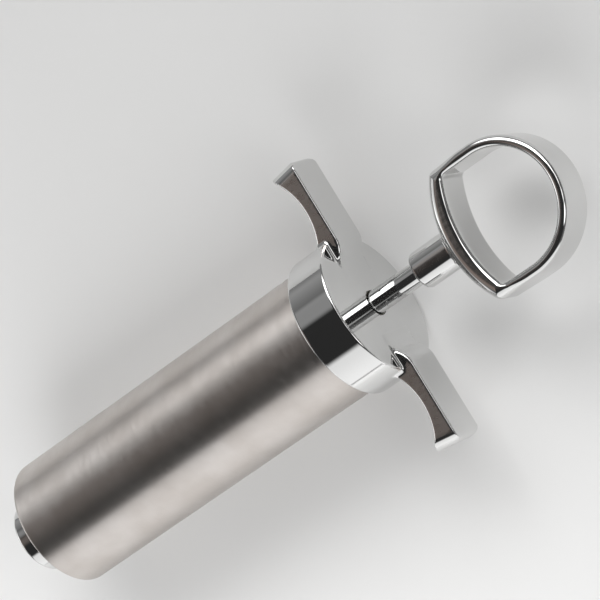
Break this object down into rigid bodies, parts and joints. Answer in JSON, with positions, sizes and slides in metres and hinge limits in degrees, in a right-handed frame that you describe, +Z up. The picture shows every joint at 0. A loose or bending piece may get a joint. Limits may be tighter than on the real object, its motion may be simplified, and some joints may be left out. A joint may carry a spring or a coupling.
{
  "type": "meat injector",
  "caption": "Piston syringe for marinade: satin steel barrel, screw-on cap with finger wings, rod with thumb ring, and a threaded socket for a needle.",
  "frame": {"origin": "middle of the part's box, at its lowest point: below the axis of the barrel, on the surface it lies on", "axes": "+X along the barrel towards the thumb ring, +Y across the finger wings, +Z up, square to both; the thumb ring is drawn turned 5 degrees about +X from the wings"},
  "size_m": [0.1808, 0.0782, 0.0377],
  "materials": {
    "barrel_steel": "fine satin, brushed round the barrel",
    "polished_chrome": "mirror polish",
    "white_silicone": "soft translucent white",
    "black_nitrile": "smooth matt black",
    "ivory_acetal": "turned, satin",
    "spring_steel": "dark phosphated",
    "fastener_steel": "plain stainless"
  },
  "bodies": {
    "barrel": {"barrel_tube": "barrel_steel", "barrel_base": "barrel_steel", "needle_socket": "polished_chrome", "socket_washer": "white_silicone"},
    "cap_seal": {"cap_gasket": "white_silicone"},
    "cap": {"finger_cap": "polished_chrome", "rod_bush": "ivory_acetal", "bush_clip": "spring_steel"},
    "piston_seals": {"front_o_ring": "black_nitrile", "rear_o_ring": "black_nitrile"},
    "plunger": {"piston_body": "ivory_acetal", "rod_o_ring": "black_nitrile", "piston_washer": "fastener_steel", "piston_nut": "fastener_steel", "plunger_rod": "polished_chrome", "thumb_ring": "polished_chrome"}
  },
  "joints": [
    {"name": "cap_lift", "type": "slide", "parent": "barrel", "child": "cap_seal", "axis": [1, 0, 0], "range_m": [0, 0.005]},
    {"name": "cap_turn", "type": "hinge", "parent": "cap_seal", "child": "cap", "pos_m": [0, 0, 0.01885], "axis": [1, 0, 0], "range_deg": [0, 720]},
    {"name": "plunger_slide", "type": "slide", "parent": "cap_seal", "child": "piston_seals", "axis": [1, 0, 0], "range_m": [-0.0118, 0.078]},
    {"name": "plunger_turn", "type": "hinge", "parent": "piston_seals", "child": "plunger", "pos_m": [0, 0, 0.01885], "axis": [1, 0, 0], "continuous": true}
  ],
  "couplings": [
    {"joint": "cap_turn", "follows": "cap_lift", "rad_per_m": 2513.3}
  ]
}
